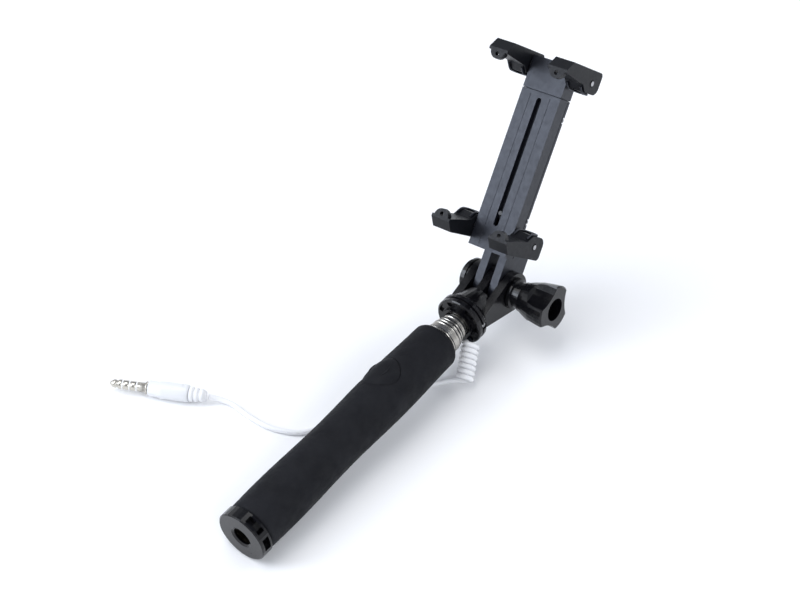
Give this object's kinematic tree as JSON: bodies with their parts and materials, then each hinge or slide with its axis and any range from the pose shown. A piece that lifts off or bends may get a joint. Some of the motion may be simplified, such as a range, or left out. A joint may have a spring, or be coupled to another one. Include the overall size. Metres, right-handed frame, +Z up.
{
  "type": "selfie stick",
  "caption": "Collapsed wired selfie stick with a black rubber grip, steel telescopic pole, tilting spring clamp with hooked arms, lobed knob and white coiled lead with audio plug.",
  "frame": {"origin": "middle of the underside of the box around the stick without its lead, on the surface it lies on", "axes": "+Z up, +Y along the pole from the end cap towards the head, +X towards the side the hinge knob is on"},
  "size_m": [0.1138, 0.188, 0.1014],
  "materials": {
    "rubber_black": "matt, fine-grained",
    "gloss_black": "moulded gloss",
    "satin_black": "moulded satin",
    "stainless": "polished tube",
    "steel": "plain",
    "brass": "turned",
    "cable_white": "soft, slightly shiny",
    "plug_white": "moulded gloss",
    "plug_metal": "plated",
    "board_green": "circuit board"
  },
  "bodies": {
    "handle": {"grip_sleeve": "rubber_black", "handle_core": "satin_black", "end_cap": "gloss_black", "tripod_insert": "brass", "switch_board": "board_green", "tact_switch": "steel", "tube_1": "stainless"},
    "button": {"shutter_button": "rubber_black", "switch_plunger": "plug_white"},
    "tube_2": {"tube_2": "stainless"},
    "tube_3": {"tube_3": "stainless"},
    "tube_4": {"tube_4": "stainless"},
    "tube_5": {"tube_5": "stainless"},
    "head": {"tube_6": "stainless", "head_base": "gloss_black", "head_cross_pin": "steel", "lead_bushing": "satin_black", "hinge_nut": "steel", "lead_stub": "cable_white", "lead_coil": "cable_white", "lead_wire": "cable_white", "plug_body": "plug_white", "plug_strain_relief": "cable_white", "plug_contacts": "plug_metal"},
    "knob": {"hinge_knob": "gloss_black", "hinge_bolt": "steel"},
    "clamp": {"clamp_back": "satin_black", "clamp_front": "satin_black", "clamp_spring_left": "steel", "clamp_spring_right": "steel", "clamp_screw_1": "steel", "clamp_screw_2": "steel", "clamp_screw_3": "steel", "clamp_screw_4": "steel", "lower_arm_pin_left": "steel", "lower_arm_spring_left": "steel", "lower_arm_pin_right": "steel", "lower_arm_spring_right": "steel"},
    "slider": {"clamp_slider": "satin_black", "guide_pin": "steel", "upper_arm_pin_left": "steel", "upper_arm_spring_left": "steel", "upper_arm_pin_right": "steel", "upper_arm_spring_right": "steel"},
    "upper_arm_left": {"upper_arm_left": "satin_black"},
    "upper_arm_right": {"upper_arm_right": "satin_black"},
    "lower_arm_left": {"lower_arm_left": "satin_black"},
    "lower_arm_right": {"lower_arm_right": "satin_black"}
  },
  "joints": [
    {"name": "tube_2_slide", "type": "slide", "parent": "handle", "child": "tube_2", "axis": [0, 0.9981, 0.061], "range_m": [0, 0.08]},
    {"name": "tube_3_slide", "type": "slide", "parent": "tube_2", "child": "tube_3", "axis": [0, 0.9981, 0.061], "range_m": [0, 0.08]},
    {"name": "tube_4_slide", "type": "slide", "parent": "tube_3", "child": "tube_4", "axis": [0, 0.9981, 0.061], "range_m": [0, 0.08]},
    {"name": "tube_5_slide", "type": "slide", "parent": "tube_4", "child": "tube_5", "axis": [0, 0.9981, 0.061], "range_m": [0, 0.08]},
    {"name": "head_slide", "type": "slide", "parent": "tube_5", "child": "head", "axis": [0, 0.9981, 0.061], "range_m": [0, 0.08]},
    {"name": "button_press", "type": "slide", "parent": "handle", "child": "button", "axis": [0.3811, 0.0564, -0.9228], "range_m": [0, 0.0004], "stiffness_N_per_m": 1500},
    {"name": "clamp_tilt", "type": "hinge", "parent": "head", "child": "clamp", "pos_m": [-0.00031, 0.0454, 0.01807], "axis": [0.9917, -0.0079, 0.1286], "range_deg": [-136, 43]},
    {"name": "knob_turn", "type": "hinge", "parent": "head", "child": "knob", "pos_m": [-0.00031, 0.0454, 0.01807], "axis": [0.9917, -0.0079, 0.1286], "continuous": true},
    {"name": "slider_pull", "type": "slide", "parent": "clamp", "child": "slider", "axis": [-0.0936, 0.6418, 0.7611], "range_m": [0, 0.028], "stiffness_N_per_m": 150, "springref_m": -0.02},
    {"name": "upper_arm_left_fold", "type": "hinge", "parent": "slider", "child": "upper_arm_left", "pos_m": [-0.02084, 0.08737, 0.08408], "axis": [0.9917, -0.0079, 0.1286], "range_deg": [0, 90]},
    {"name": "upper_arm_right_fold", "type": "hinge", "parent": "slider", "child": "upper_arm_right", "pos_m": [0.00336, 0.08718, 0.08722], "axis": [0.9917, -0.0079, 0.1286], "range_deg": [0, 90]},
    {"name": "lower_arm_left_fold", "type": "hinge", "parent": "clamp", "child": "lower_arm_left", "pos_m": [-0.0152, 0.04873, 0.03827], "axis": [-0.9917, 0.0079, -0.1286], "range_deg": [0, 90]},
    {"name": "lower_arm_right_fold", "type": "hinge", "parent": "clamp", "child": "lower_arm_right", "pos_m": [0.00899, 0.04854, 0.0414], "axis": [-0.9917, 0.0079, -0.1286], "range_deg": [0, 90]}
  ]
}
